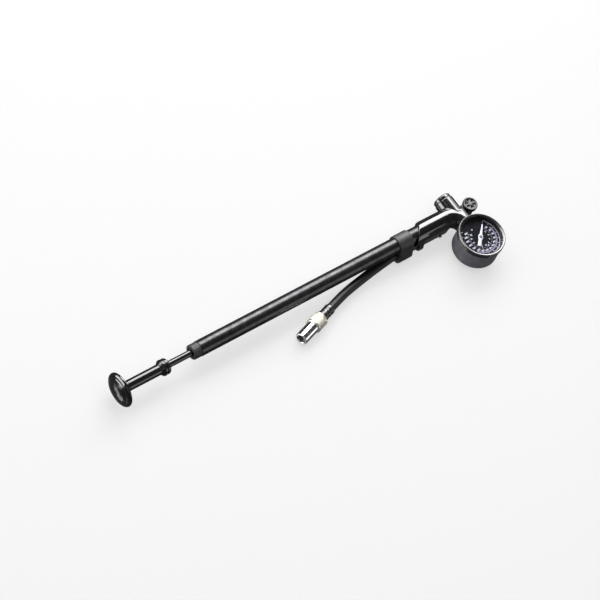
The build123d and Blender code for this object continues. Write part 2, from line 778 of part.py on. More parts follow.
# ================================================================== HOSE
# The hose is a chain of straight lengths in the plane z = hose_z.
coupler_angle = math.radians(coupler_deg)
dir_x, dir_y = math.cos(coupler_angle), math.sin(coupler_angle)
crimp_x = mouth_x + dir_x * (coupler_len + crimp_len)
crimp_y = mouth_y + dir_y * (coupler_len + crimp_len)
last_x = 149.5              # last bend, on the coupler's axis
# bend points (x, y) from the head to the crimped ferrule
bends = [
    (208.0, -4.75), (193.5, -6.4), (179.0, -8.5), (164.0, -10.95),
    (last_x, crimp_y + (last_x - crimp_x) * dir_y / dir_x),
    (crimp_x, crimp_y),
]
bend_gap = 1.6              # gap between neighbouring lengths


def segment_plane(start, end, shift):
    """Plane across the hose, `shift` along the way from start to end."""
    length = math.dist(start, end)
    along_x, along_y = (end[0] - start[0]) / length, (end[1] - start[1]) / length
    return Plane(origin=(start[0] + along_x * shift, start[1] + along_y * shift, hose_z),
                 x_dir=(0, 0, 1), z_dir=(along_x, along_y, 0))


# straight length in the head, then a short bent lead towards the first segment
root_x = bends[0][0] + 6.0
lead_start = (bends[0][0] + bend_gap / 2, bends[0][1] + 0.04)
with BuildPart() as hose_root:
    with BuildSketch(hose_plane(root_x)):
        Circle(hose_r)
        Circle(hose_bore_r, mode=Mode.SUBTRACT)
    extrude(amount=head_x - 2.75 - root_x)
    with BuildSketch(segment_plane(lead_start, (root_x, hose_y), 0.0)):
        Circle(hose_r)
        Circle(hose_bore_r, mode=Mode.SUBTRACT)
    with BuildSketch(hose_plane(root_x)):
        Circle(hose_r)
        Circle(hose_bore_r, mode=Mode.SUBTRACT)
    loft()
save("hose_root", hose_root.part)

segment_count = len(bends) - 1
for i in range(segment_count):
    start, end = bends[i], bends[i + 1]
    length = math.dist(start, end) - bend_gap
    if i == segment_count - 1:
        # the last segment runs on into the crimped ferrule
        length += bend_gap / 2 + crimp_len - 1.5
    save(f"hose_segment_{i + 1}",
         ring(segment_plane(start, end, bend_gap / 2), hose_r, hose_bore_r, length))

# clip ring that holds the hose to the barrel
clip_x0, clip_x1 = head_x - 31.4, head_x - 16.4
with BuildPart() as hose_clip:
    with BuildSketch(facing_x(clip_x0)):
        Circle(8.3)
        with Locations((hose_y - 1.2, hose_z - 1.1)):
            Circle(6.1)
        make_hull()
    extrude(amount=clip_x1 - clip_x0)
    fillet(hose_clip.edges().group_by(Axis.X)[0] + hose_clip.edges().group_by(Axis.X)[-1], 0.7)
    with BuildSketch(facing_x(clip_x0 - 5.0)):
        Circle(barrel_r + 0.06)
        with Locations((hose_y, hose_z)):
            Circle(hose_r + 0.5)
    extrude(amount=30.0, mode=Mode.SUBTRACT)
save("hose_clip", hose_clip.part)

# ================================================================== COUPLER
# Outlines are (distance from the coupler's mouth towards the hose, radius).
mouth = (mouth_x, mouth_y, hose_z)
coupler_plane = upright(mouth, coupler_deg)
coupler_axis = Axis(mouth, (dir_x, dir_y, 0))

# ferrule with a shallow crimped groove
crimp_r = 4.75
crimp_start = coupler_len + 0.35
crimp_end = coupler_len + crimp_len
save("crimp_ferrule", turned([
    (crimp_start, 2.05), (crimp_start, 4.3), (crimp_start + 0.4, crimp_r),
    (crimp_start + 3.6, crimp_r), (crimp_start + 4.2, 4.5), (crimp_start + 5.0, 4.5),
    (crimp_start + 5.6, crimp_r), (crimp_end - 0.6, crimp_r), (crimp_end, 4.3),
    (crimp_end, hose_r + 0.04), (crimp_start + 1.1, hose_r + 0.04), (crimp_start + 1.1, 2.05),
], coupler_plane, coupler_axis))

# barb in the hose, with a flange inside the coupler
barb_flange = coupler_len - 7.0
save("tail_barb", turned([
    (barb_flange, 1.0), (barb_flange, 2.9), (barb_flange + 3.0, 2.9), (barb_flange + 3.0, 2.0),
    (crimp_end - 3.0, 2.0), (crimp_end - 3.0, 1.0),
], coupler_plane, coupler_axis))

# body: slim front, thicker grip, stepped bore
save("valve_coupler", turned([
    (0, thread_r + 0.5), (0, coupler_front_r - 0.5), (0.5, coupler_front_r),
    (coupler_front_len - 0.6, coupler_front_r), (coupler_front_len, coupler_grip_r - 0.5),
    (coupler_front_len + 0.5, coupler_grip_r), (coupler_len - 1.3, coupler_grip_r),
    (coupler_len - 0.1, coupler_grip_r - 1.2), (coupler_len, 4.4), (coupler_len, 2.06),
    (coupler_len - 3.7, 2.06), (coupler_len - 3.7, 3.2), (coupler_len - 12.0, 3.2),
    (coupler_len - 12.0, 2.2), (thread_len + 3.0, 2.2), (thread_len + 3.0, 3.3),
    (thread_len + 0.5, 3.3), (thread_len + 0.5, thread_r), (0.5, thread_r),
], coupler_plane, coupler_axis))

save("coupler_seal", turned([
    (thread_len + 0.9, 1.3), (thread_len + 0.9, 3.2), (thread_len + 2.9, 3.2),
    (thread_len + 2.9, 1.3),
], coupler_plane, coupler_axis))

save("valve_pin", turned([
    (thread_len + 0.7, 0), (thread_len + 0.7, 0.9), (thread_len + 3.2, 0.9),
    (thread_len + 3.2, 2.1), (thread_len + 4.4, 2.1), (thread_len + 4.4, 0),
], coupler_plane, coupler_axis))
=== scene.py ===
"""Hand pump with a round dial gauge, a bleed button, and a hose ending in a screw-on coupler.

The barrel lies along X from x = 0 to its head at +X; the plunger's knob is at -X. The gauge
faces +Z on the -Y side of the head. The hose leaves the head towards -X, below the barrel's axis
and on its -Y side. Pieces are dimensioned in mm and built in metres.
"""

import json
import math

import bmesh
import bpy
import numpy as np
from mathutils import Matrix, Vector


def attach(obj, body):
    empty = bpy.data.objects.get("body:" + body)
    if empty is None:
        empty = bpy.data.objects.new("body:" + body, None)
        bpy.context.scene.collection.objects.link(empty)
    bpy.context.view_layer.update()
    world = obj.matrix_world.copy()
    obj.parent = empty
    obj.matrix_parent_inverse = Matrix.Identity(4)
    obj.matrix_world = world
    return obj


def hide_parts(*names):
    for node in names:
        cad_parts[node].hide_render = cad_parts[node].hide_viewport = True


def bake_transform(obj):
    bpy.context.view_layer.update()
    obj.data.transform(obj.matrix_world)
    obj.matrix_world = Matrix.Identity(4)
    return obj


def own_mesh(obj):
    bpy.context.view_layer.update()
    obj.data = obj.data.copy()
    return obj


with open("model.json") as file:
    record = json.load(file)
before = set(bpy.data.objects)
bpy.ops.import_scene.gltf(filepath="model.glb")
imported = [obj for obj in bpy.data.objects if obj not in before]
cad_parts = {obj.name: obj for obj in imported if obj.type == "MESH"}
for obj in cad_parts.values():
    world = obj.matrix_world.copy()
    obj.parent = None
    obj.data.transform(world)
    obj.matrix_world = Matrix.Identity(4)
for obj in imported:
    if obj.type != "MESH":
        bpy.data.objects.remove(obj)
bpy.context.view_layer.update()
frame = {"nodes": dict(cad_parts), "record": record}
nodes = frame["nodes"]
record_slot = {part["node"]: part["material_slot"] for part in frame["record"]["subparts"]}

# ------------------------------------------------------------- driving dimensions, mm
MM = 0.001
ORIGIN = (0, 0, 0)
X_AXIS = (1, 0, 0)
Z_AXIS = (0, 0, 1)

TUBE_LENGTH, TUBE_RADIUS, TUBE_BORE = 269.0, 7.0, 5.7
ROD_START, ROD_RADIUS = -40.0, 3.0

GAUGE_X, GAUGE_Y = 283.5, -32.0
GAUGE_CENTRE = (GAUGE_X, GAUGE_Y, 0)
DIAL_TOP = 6.6
BLEED_CENTRE = (296.1, -0.9, 0)

HOSE_START_X, HOSE_STRAIGHT_X = 242.2, 214.0
HOSE_Y, HOSE_Z = -4.3, -10.25
HOSE_RADIUS = 4.0

# The coupler and its sleeve are measured from the coupler's mouth along its tilted axis.
COUPLER_TILT = math.radians(16.5)
COUPLER_AXIS = Vector((math.cos(COUPLER_TILT), math.sin(COUPLER_TILT), 0))
COUPLER_MOUTH = Vector((90.4, -31.1, HOSE_Z))
COUPLER_BORE = 3.86
SLEEVE_END = 42.0


# ---------------------------------------------------------------------- shader tools
def plug(tree, socket, value):
    """Links another node's output to the socket, or sets a plain value."""
    if isinstance(value, bpy.types.NodeSocket):
        tree.links.new(value, socket)
    else:
        socket.default_value = value


def feed(tree, target, **inputs):
    """Fills inputs by name; an underscore stands for a space."""
    for key, value in inputs.items():
        plug(tree, target.inputs[key.replace("_", " ")], value)


def node(tree, kind, **inputs):
    made = tree.nodes.new(kind)
    feed(tree, made, **inputs)
    return made


def calc(tree, operation, first, second=None, clamp=False):
    made = node(tree, "ShaderNodeMath")
    made.operation = operation
    made.use_clamp = clamp
    plug(tree, made.inputs[0], first)
    if second is not None:
        plug(tree, made.inputs[1], second)
    return made.outputs[0]


def remap(tree, value, low, high, start=0.0, end=1.0):
    """Maps the range start..end onto low..high."""
    return node(tree, "ShaderNodeMapRange", From_Min=start, From_Max=end,
                To_Min=low, To_Max=high, Value=value).outputs["Result"]


def coords(tree, scale=(1, 1, 1)):
    place = node(tree, "ShaderNodeTexCoord").outputs["Object"]
    return node(tree, "ShaderNodeMapping", Scale=scale, Vector=place).outputs["Vector"]


def noise(tree, vec, scale, detail=3.0, rough=0.55):
    return node(tree, "ShaderNodeTexNoise", Scale=scale, Detail=detail, Roughness=rough,
                Vector=vec).outputs["Fac"]


def mix_colour(tree, factor, first, second):
    made = node(tree, "ShaderNodeMix")
    made.data_type = "RGBA"
    plug(tree, made.inputs[0], factor)
    for i, value in ((6, first), (7, second)):     # the node's colour sockets
        plug(tree, made.inputs[i], (*value, 1) if isinstance(value, tuple) else value)
    return made.outputs[2]


def bump(tree, height, strength, distance):
    return node(tree, "ShaderNodeBump", Strength=strength, Distance=distance,
                Height=height).outputs["Normal"]


def empty_material(name):
    made = bpy.data.materials.new(name)
    made.use_nodes = True
    tree = made.node_tree
    tree.nodes.clear()
    return made, tree, node(tree, "ShaderNodeOutputMaterial")


def principled_material(name):
    made, tree, output = empty_material(name)
    shader = node(tree, "ShaderNodeBsdfPrincipled")
    feed(tree, output, Surface=shader.outputs["BSDF"])
    return made, tree, shader


# ------------------------------------------------------------------------- materials
MATERIALS = {}
WORN_COLOUR = (0.5, 0.5, 0.52)
ROUGH_SPREAD = 0.12          # share by which the roughness varies


def surface(name, colour, rough, metallic=0.0, coat=0.0, coat_rough=0.05, spread=0.35,
            patch=180.0, grain=3500.0, grain_depth=0.02, stretch=(1, 1, 1), edge=0.0,
            specular=0.5, peel=0.0):
    """Soft colour patches, fine grain or brushing in the bump, uneven gloss and worn edges.

    spread: colour variation; patch, grain: noise scales; stretch: draws the grain out;
    edge: amount of edge wear; peel: depth of an orange-peel ripple.
    """
    made, tree, shader = principled_material(name)
    vec = coords(tree)
    fine = coords(tree, stretch)

    light = tuple(c * (1 + spread) + 0.002 for c in colour)
    dark = tuple(c * (1 - spread) for c in colour)
    patches = noise(tree, vec, patch, detail=4.0)
    tone = mix_colour(tree, remap(tree, patches, 0.0, 1.0, start=0.35, end=0.65), dark, light)
    grains = noise(tree, fine, grain, detail=2.0, rough=0.6)
    if edge:
        # convex edges are worn, in broken stretches
        pointed = node(tree, "ShaderNodeNewGeometry").outputs["Pointiness"]
        worn = remap(tree, pointed, 0.0, edge, start=0.53, end=0.60)
        worn = node(tree, "ShaderNodeClamp", Value=worn).outputs[0]
        gaps = remap(tree, noise(tree, vec, 700.0, detail=4.0), 0.0, 1.0, start=0.45, end=0.6)
        broken = calc(tree, "MULTIPLY", worn, gaps, clamp=True)
        tone = mix_colour(tree, broken, tone, WORN_COLOUR)

    # roughness varies in clouds finer than the colour patches, and a little with the grain
    clouds = noise(tree, vec, patch * 2.3, detail=5.0, rough=0.65)
    cloudy = remap(tree, clouds, rough * (1 - ROUGH_SPREAD), rough * (1 + ROUGH_SPREAD),
                   start=0.3, end=0.7)
    half = 0.5 * rough * ROUGH_SPREAD
    gloss = calc(tree, "ADD", cloudy, remap(tree, grains, -half, half))

    if peel:
        ripple = noise(tree, vec, 1100.0, detail=1.0, rough=0.4)
        height = calc(tree, "ADD", calc(tree, "MULTIPLY", grains, grain_depth),
                      calc(tree, "MULTIPLY", ripple, peel))
        normal = bump(tree, height, strength=1.0, distance=0.0002)
    else:
        normal = bump(tree, grains, strength=grain_depth * 10, distance=0.00002)
    feed(tree, shader, Base_Color=tone, Roughness=gloss, Metallic=metallic,
         Specular_IOR_Level=specular, Coat_Weight=coat, Coat_Roughness=coat_rough, Normal=normal)
    if coat:
        waves = noise(tree, vec, 500.0, detail=1.0, rough=0.3)
        feed(tree, shader, Coat_Normal=bump(tree, waves, strength=0.25, distance=0.00002))
    MATERIALS[name] = made


surface("barrel_anodised", (0.048, 0.048, 0.050), rough=0.28, metallic=0.85, spread=0.25,
        stretch=(0.02, 1, 1), grain=2600.0, grain_depth=0.012, edge=0.35)
surface("cap_grey", (0.024, 0.024, 0.025), rough=0.50, grain=2200.0, grain_depth=0.07, edge=0.10)
surface("bearing_plastic", (0.72, 0.70, 0.64), rough=0.45, spread=0.08)
surface("seal_rubber", (0.018, 0.018, 0.018), rough=0.62, grain=2400.0, grain_depth=0.06)
surface("head_black", (0.004, 0.004, 0.0045), rough=0.16, coat=1.0, coat_rough=0.06, peel=0.10,
        edge=0.12)
surface("brass", (0.72, 0.52, 0.22), rough=0.26, metallic=1.0, spread=0.12, grain=3000.0,
        grain_depth=0.03)
surface("spring_steel", (0.55, 0.55, 0.57), rough=0.24, metallic=1.0, spread=0.12)
surface("black_screw", (0.05, 0.05, 0.055), rough=0.35, metallic=0.8)
surface("case_paint", (0.088, 0.084, 0.098), rough=0.40, coat=0.25, coat_rough=0.28,
        spread=0.16, stretch=(1, 1, 0.12), grain=2600.0, grain_depth=0.05, edge=0.10)
surface("bezel_black", (0.012, 0.012, 0.013), rough=0.22, coat=1.0, coat_rough=0.20,
        specular=0.8, edge=0.25)
surface("tube_bronze", (0.60, 0.38, 0.18), rough=0.3, metallic=1.0, spread=0.15)
surface("rod_black", (0.005, 0.005, 0.006), rough=0.16, coat=0.5, coat_rough=0.14, spread=0.2,
        stretch=(0.03, 1, 1), grain_depth=0.015)
surface("piston_aluminium", (0.68, 0.68, 0.70), rough=0.3, metallic=1.0, spread=0.1)
surface("knob_gloss", (0.003, 0.003, 0.0033), rough=0.16, coat=1.0, coat_rough=0.11,
        grain=1800.0, grain_depth=0.03, edge=0.15)
surface("clip_plastic", (0.024, 0.024, 0.0255), rough=0.50, grain=1700.0, grain_depth=0.09,
        edge=0.10)
surface("button_black", (0.006, 0.006, 0.0065), rough=0.30, coat=0.3, coat_rough=0.12, edge=0.15)
surface("pointer_white", (0.94, 0.94, 0.94), rough=0.28, spread=0.05)
surface("hub_grey", (0.16, 0.16, 0.17), rough=0.35, metallic=0.4, spread=0.15)
surface("dial_face", (0.0035, 0.0035, 0.0048), rough=0.55, grain=2500.0, grain_depth=0.04,
        specular=0.08)
surface("print_white", (0.74, 0.74, 0.76), rough=0.5, spread=0.05, patch=900.0)
surface("print_violet", (0.24, 0.23, 0.30), rough=0.5, spread=0.10, patch=700.0)
surface("ferrule_black", (0.12, 0.117, 0.115), rough=0.27, metallic=0.9, edge=0.3)
surface("chrome_plate", (0.84, 0.84, 0.84), rough=0.14, metallic=1.0, spread=0.05,
        grain_depth=0.01)
surface("nickel_knurl", (0.74, 0.72, 0.64), rough=0.30, metallic=0.8, spread=0.08)
surface("thread_dark", (0.10, 0.098, 0.095), rough=0.35, metallic=0.9, spread=0.2)


def lens_material():
    """Clear window: straight-through light under a slightly smeared mirror."""
    made, tree, output = empty_material("clear_lens")
    clear = node(tree, "ShaderNodeBsdfTransparent", Color=(0.93, 0.93, 0.96, 1))
    vec = coords(tree)
    film = noise(tree, vec, 160.0, detail=5.0, rough=0.7)
    gloss = node(tree, "ShaderNodeBsdfGlossy",
                 Roughness=remap(tree, film, 0.01, 0.03, start=0.45, end=0.8))
    # the same mirror share on the way out as on the way in
    glass_ior = 1.5
    inside = node(tree, "ShaderNodeNewGeometry").outputs["Backfacing"]
    fresnel = node(tree, "ShaderNodeFresnel", IOR=remap(tree, inside, glass_ior, 1 / glass_ior))
    smear = remap(tree, noise(tree, vec, 90.0, detail=4.0), 0.9, 1.2)
    share = calc(tree, "MULTIPLY", smear, fresnel.outputs[0], clamp=True)
    mix = node(tree, "ShaderNodeMixShader")
    for i, source in enumerate((share, clear.outputs[0], gloss.outputs[0])):
        plug(tree, mix.inputs[i], source)
    feed(tree, output, Surface=mix.outputs[0])
    return made


MATERIALS["clear_lens"] = lens_material()


def hose_material():
    """Wrapped rubber: a faint cloth imprint that follows the hose, and a dull bloom."""
    made, tree, shader = principled_material("hose_rubber")
    attribute = node(tree, "ShaderNodeAttribute")
    attribute.attribute_name = "hose_uv"
    parts = node(tree, "ShaderNodeSeparateXYZ", Vector=attribute.outputs["Vector"])
    along, turn = parts.outputs[0], parts.outputs[1]     # mm along, turns round

    def stripes(per_turn, per_mm=1.1):
        phase = calc(tree, "ADD", calc(tree, "MULTIPLY", along, per_mm),
                     calc(tree, "MULTIPLY", turn, per_turn))
        wave = calc(tree, "SINE", calc(tree, "MULTIPLY", phase, math.pi))
        return calc(tree, "ABSOLUTE", wave)

    weave = calc(tree, "MULTIPLY", stripes(14.0), stripes(-14.0))
    vec = coords(tree)
    bloom = noise(tree, vec, 260.0, detail=5.0, rough=0.6)
    tone = mix_colour(tree, remap(tree, bloom, 0.0, 1.0, start=0.35, end=0.7),
                      (0.004, 0.004, 0.0045), (0.012, 0.012, 0.013))
    tone = mix_colour(tree, calc(tree, "MULTIPLY", weave, 0.5), tone, (0.020, 0.020, 0.0215))
    grains = noise(tree, vec, 2500.0, detail=2.0)
    height = calc(tree, "ADD", weave, calc(tree, "MULTIPLY", grains, 0.4))
    feed(tree, shader, Base_Color=tone,
         Roughness=remap(tree, bloom, 0.34, 0.50, start=0.3, end=0.7),
         Normal=bump(tree, height, strength=0.5, distance=0.00012))
    return made


MATERIALS["hose_rubber"] = hose_material()


# ------------------------------------------------------------------------ mesh tools
def add_object(name, data):
    made = bpy.data.objects.new(name, data)
    bpy.context.scene.collection.objects.link(made)
    return made


def mesh_from(name, bm):
    mesh = bpy.data.meshes.new(name)
    bm.to_mesh(mesh)
    bm.free()
    return mesh


def build(name, verts, faces, material, sharp):
    """Smooth-shaded object whose edges over `sharp` degrees stay crisp."""
    mesh = bpy.data.meshes.new(name)
    mesh.from_pydata([tuple(v) for v in verts], [], faces)
    mesh.validate()
    mesh.update()
    made = add_object(name, mesh)
    bm = bmesh.new()
    bm.from_mesh(mesh)
    bmesh.ops.recalc_face_normals(bm, faces=bm.faces)
    bm.to_mesh(mesh)
    bm.free()
    mesh.shade_smooth()
    mesh.set_sharp_from_angle(angle=math.radians(sharp))
    mesh.materials.append(MATERIALS[material])
    return made


def on(piece, body, *replaced):
    """The piece rides on a body and stands in for the named CAD nodes."""
    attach(piece, body)
    if replaced:
        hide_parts(*replaced)


def band(first, second, count):
    """Quads joining two closed rings of vertices, given each ring's first index."""
    return [(first + j, first + (j + 1) % count, second + (j + 1) % count, second + j)
            for j in range(count)]


def capped(first, rings, count):
    """Faces of a closed bar through successive rings of vertices."""
    faces = []
    for i in range(rings - 1):
        faces += band(first + i * count, first + (i + 1) * count, count)
    last = first + (rings - 1) * count
    faces.append(tuple(range(first + count - 1, first - 1, -1)))
    faces.append(tuple(range(last, last + count)))
    return faces


def rounded(points, steps):
    """Rounds the corners of a profile of (along, radius[, fillet]).

    Each arc has `steps` parts and is held by a close point on either side. A profile whose
    last point repeats its first is closed.
    """
    out = []
    closed = points[0][:2] == points[-1][:2]
    corners = points[:-1] if closed else points
    count = len(corners)
    for i, point in enumerate(corners):
        fillet = point[2] if len(point) > 2 else 0.0
        if (not closed and i in (0, count - 1)) or fillet <= 0:
            out.append((point[0], point[1]))
            continue
        corner = np.array(point[:2], float)
        to_last = np.array(corners[i - 1][:2], float) - corner
        to_next = np.array(corners[(i + 1) % count][:2], float) - corner
        last_length, next_length = np.linalg.norm(to_last), np.linalg.norm(to_next)
        to_last, to_next = to_last / last_length, to_next / next_length
        angle = math.acos(max(-1.0, min(1.0, float(to_last @ to_next))))
        if angle > math.radians(176):
            out.append(tuple(corner))
            continue
        cut = min(fillet / math.tan(angle / 2), last_length * 0.49, next_length * 0.49)
        radius = cut * math.tan(angle / 2)
        bisector = (to_last + to_next) / np.linalg.norm(to_last + to_next)
        centre = corner + bisector * (radius / math.sin(angle / 2))
        start, end = corner + to_last * cut, corner + to_next * cut
        hold = min(0.12, cut * 0.5)
        if last_length - cut > 2.5 * hold:
            out.append(tuple(start + to_last * hold))
        from_angle = math.atan2(*(start - centre)[::-1])
        to_angle = math.atan2(*(end - centre)[::-1])
        while to_angle - from_angle > math.pi:
            to_angle -= 2 * math.pi
        while to_angle - from_angle < -math.pi:
            to_angle += 2 * math.pi
        for j in range(steps + 1):
            a = from_angle + (to_angle - from_angle) * j / steps
            out.append(tuple(centre + radius * np.array((math.cos(a), math.sin(a)))))
        if next_length - cut > 2.5 * hold:
            out.append(tuple(end + to_next * hold))
    if closed:
        out.append(out[0])
    return out


def dense(profile, step):
    """Adds points so that no stretch of the profile is longer than step."""
    out = [profile[0]]
    for p, q in zip(profile, profile[1:]):
        parts = max(1, int(math.ceil(math.hypot(q[0] - p[0], q[1] - p[1]) / step)))
        for i in range(1, parts + 1):
            out.append((p[0] + (q[0] - p[0]) * i / parts, p[1] + (q[1] - p[1]) * i / parts))
    return out


def lathe(name, profile, material, origin=ORIGIN, axis=X_AXIS, segments=192, sharp=40,
          radius_at=None, along_at=None, slot=None):
    """Turned piece. radius_at and along_at(along, radius, angle) vary it round the axis."""
    axis = Vector(axis).normalized()
    reference = Vector((0, 0, 1)) if abs(axis.z) < 0.9 else Vector((1, 0, 0))
    u = (reference - axis * reference.dot(axis)).normalized()
    w = axis.cross(u)
    origin = Vector(origin)
    closed = profile[0] == profile[-1]
    verts, rows = [], []          # rows: (first vertex, is a single point on the axis)
    for along, radius in profile[:-1] if closed else profile:
        on_axis = radius < 1e-6
        rows.append((len(verts), on_axis))
        if on_axis:
            verts.append((origin + axis * along) * MM)
            continue
        for j in range(segments):
            t = 2 * math.pi * j / segments
            r = radius_at(along, radius, t) if radius_at else radius
            a = along_at(along, radius, t) if along_at else along
            verts.append((origin + axis * a + (u * math.cos(t) + w * math.sin(t)) * r) * MM)
    faces = []
    pairs = list(zip(rows, rows[1:])) + ([(rows[-1], rows[0])] if closed else [])
    for (p, p_on_axis), (q, q_on_axis) in pairs:
        if p_on_axis:
            faces += [(p, q + (j + 1) % segments, q + j) for j in range(segments)]
        elif q_on_axis:
            faces += [(p + j, p + (j + 1) % segments, q) for j in range(segments)]
        else:
            faces += band(p, q, segments)
    return build(name, verts, faces, material, sharp)


def soften(name, sources, voxel, rounds, material):
    """A cast or moulded look: CAD solids as one voxel skin with eased corners."""
    bm = bmesh.new()
    for source in sources:
        bm.from_mesh(nodes[source].data)
    made = add_object(name, mesh_from(name, bm))
    weld = made.modifiers.new("weld", "WELD")
    weld.merge_threshold = 1e-6
    skin = made.modifiers.new("skin", "REMESH")
    skin.mode = "VOXEL"
    skin.voxel_size = voxel * MM
    skin.use_smooth_shade = True
    ease = made.modifiers.new("ease", "SMOOTH")
    ease.factor = 0.5
    ease.iterations = rounds
    depsgraph = bpy.context.evaluated_depsgraph_get()
    done = bpy.data.meshes.new_from_object(made.evaluated_get(depsgraph))
    made.modifiers.clear()
    made.data = done
    done.name = name
    done.shade_smooth()
    done.materials.clear()
    done.materials.append(MATERIALS[material])
    return made


# CAD nodes that stay on show get a finish and smooth faces; their vertices are left alone.
for name in nodes:
    mesh = nodes[name].data
    mesh.materials.clear()
    mesh.materials.append(MATERIALS[record_slot[name]])
    mesh.shade_smooth()
    mesh.set_sharp_from_angle(angle=math.radians(28))

# ------------------------------------------------------------------ handle and plunger
# Every profile below lists (along the axis, radius, fillet).
KNOB = [
    (-85.4, 0.0), (-85.25, 3.0, 4.0), (-84.8, 6.0, 6.0), (-83.95, 9.0, 6.0),
    (-82.8, 11.5, 3.0), (-82.35, 12.15, 0.1), (-82.5, 12.45, 0.15), (-81.9, 13.8, 1.5),
    (-81.0, 14.95, 1.2), (-79.9, 15.6, 1.0), (-78.8, 15.2, 0.8), (-77.9, 12.8, 3.0),
    (-77.2, 9.2, 4.0), (-76.2, 6.6, 1.6), (-75.3, 6.2, 0.4), (-74.62, 5.6, 0.3), (-74.62, 0.0)]
on(lathe("knob", rounded(KNOB, 8), "knob_gloss", segments=224), "plunger", "handle_knob")

STEM = [
    (-78.6, 0.0), (-78.6, 3.0, 0.2), (-74.6, 3.0, 0.1), (-74.6, 4.75, 0.35),
    (-73.2, 4.75, 0.15), (-73.0, 4.5, 0.1), (-72.5, 4.5, 0.1), (-72.3, 4.75, 0.15),
    (-41.02, 4.75, 0.1), (-41.02, 0.0)]
on(lathe("stem", rounded(STEM, 4), "rod_black", segments=160), "plunger", "handle_stem")

SOCKET_RADIUS = ROD_RADIUS + 0.02
FERRULE = [
    (-41.0, 0.0), (-41.0, 4.72, 0.1), (-40.4, 5.1, 0.8), (-38.6, 6.7, 0.8), (-38.0, 7.2, 0.6),
    (-36.5, 7.2, 0.6), (-36.1, 6.45, 0.3), (-35.6, 6.45, 0.3), (-35.2, 7.0, 0.5),
    (-33.4, 7.0, 0.8), (-32.3, 6.2, 0.5), (-32.0, 5.2, 0.3), (-32.0, 3.4, 0.2),
    (-32.3, SOCKET_RADIUS, 0.1), (ROD_START, SOCKET_RADIUS), (ROD_START, 0.0)]
on(lathe("ferrule", rounded(FERRULE, 6), "rod_black"), "plunger", "handle_ferrule")

ROD = [
    (ROD_START, 0.0), (ROD_START, ROD_RADIUS, 0.3), (236.5, ROD_RADIUS, 0.3),
    (236.5, 2.0, 0.1), (245.5, 2.0, 0.3), (245.5, 0.0)]
on(lathe("rod", rounded(ROD, 4), "rod_black", segments=128), "plunger", "pump_rod")

# ---------------------------------------------------------------------------- barrel
TUBE = [
    (0.0, TUBE_BORE, 0.15), (0.0, TUBE_RADIUS, 0.35), (TUBE_LENGTH, TUBE_RADIUS, 0.2),
    (TUBE_LENGTH, TUBE_BORE, 0.2), (0.0, TUBE_BORE)]
on(lathe("tube", rounded(TUBE, 4), "barrel_anodised"), "pump_body", "barrel_tube")


def cap_radius(along, radius, angle):
    """Eighteen shallow grip hollows round the cap, away from its ends."""
    if radius < 6.0 or along < -6.6 or along > -1.0:
        return radius
    ridge = 0.5 - 0.5 * math.cos(18 * angle)
    return radius - 0.16 * (1 - ridge) ** 3


END_CAP = [
    (-4.2, 4.4), (-4.2, 3.55, 0.1), (-5.7, 3.55, 0.1), (-5.7, 4.6, 0.1), (-7.5, 4.6, 0.25),
    (-7.5, 6.7, 0.75), (-0.35, 6.7, 0.3), (0.0, 6.3, 0.1), (0.0, 5.66, 0.1), (8.0, 5.66, 0.2),
    (8.0, 4.4, 0.1), (-4.2, 4.4)]
on(lathe("end_cap", dense(rounded(END_CAP, 5), 0.45), "cap_grey", segments=216,
         radius_at=cap_radius), "pump_body", "barrel_end_cap")

WIPER = [
    (-5.72, 3.04, 0.1), (-5.72, 4.56, 0.1), (-6.7, 4.56, 0.2), (-7.05, 4.1, 0.2),
    (-6.6, 3.5, 0.2), (-7.1, 3.04, 0.1), (-5.72, 3.04)]
on(lathe("wiper", rounded(WIPER, 3), "seal_rubber", segments=128), "pump_body", "rod_wiper")

# ----------------------------------------------------------------- head and hose clip
HEAD_VOXEL = 0.26
on(soften("head_casting", ["head_body", "head_collar"], HEAD_VOXEL, 12,
          "head_black"), "pump_body", "head_body", "head_collar")
on(soften("plug_skin", ["side_plug"], HEAD_VOXEL * 0.85, 26,
          record_slot["side_plug"]), "pump_body", "side_plug")
on(soften("hose_holder", ["hose_clip"], 0.22, 8,
          "clip_plastic"), "clip", "hose_clip")

# --------------------------------------------------------------------- gauge housing
GAUGE_LATHE = {"origin": GAUGE_CENTRE, "axis": Z_AXIS}

CAN = [
    (-13.0, 0.0), (-13.0, 6.0, 0.3), (-12.75, 6.6, 0.3), (-12.75, 12.0, 0.3),
    (-13.0, 12.6, 0.3), (-13.0, 20.7, 2.9), (9.0, 20.7, 0.2), (9.0, 19.5, 0.2),
    (-10.2, 19.5, 1.5), (-10.2, 17.9, 0.2), (-11.8, 17.9, 0.5), (-11.8, 0.0)]
on(lathe("gauge_can", rounded(CAN, 8), "case_paint", segments=256, **GAUGE_LATHE),
   "pump_body", "gauge_case")

RIM = [
    (7.2, 20.74, 0.1), (7.2, 21.2, 0.25), (7.7, 21.45, 0.35), (8.5, 21.45, 0.2),
    (8.7, 21.3, 0.1), (9.0, 21.3, 0.1), (9.2, 21.45, 0.15), (11.3, 21.45, 0.6),
    (11.98, 20.9, 0.45), (11.75, 19.9, 1.1), (11.2, 18.95, 0.35), (10.28, 18.9, 0.1),
    (10.28, 20.74, 0.05), (7.2, 20.74)]
on(lathe("gauge_rim", rounded(RIM, 6), "bezel_black", segments=288, **GAUGE_LATHE),
   "pump_body", "gauge_bezel")

GLASS = [
    (9.03, 0.0), (9.03, 20.4, 0.1), (10.1, 20.4, 0.15), (10.2, 18.8, 0.4),
    (10.28, 16.0, 12.0), (10.32, 0.0)]
lens = lathe("gauge_glass", rounded(GLASS, 8), "clear_lens", **GAUGE_LATHE)
on(lens, "pump_body", "gauge_lens")

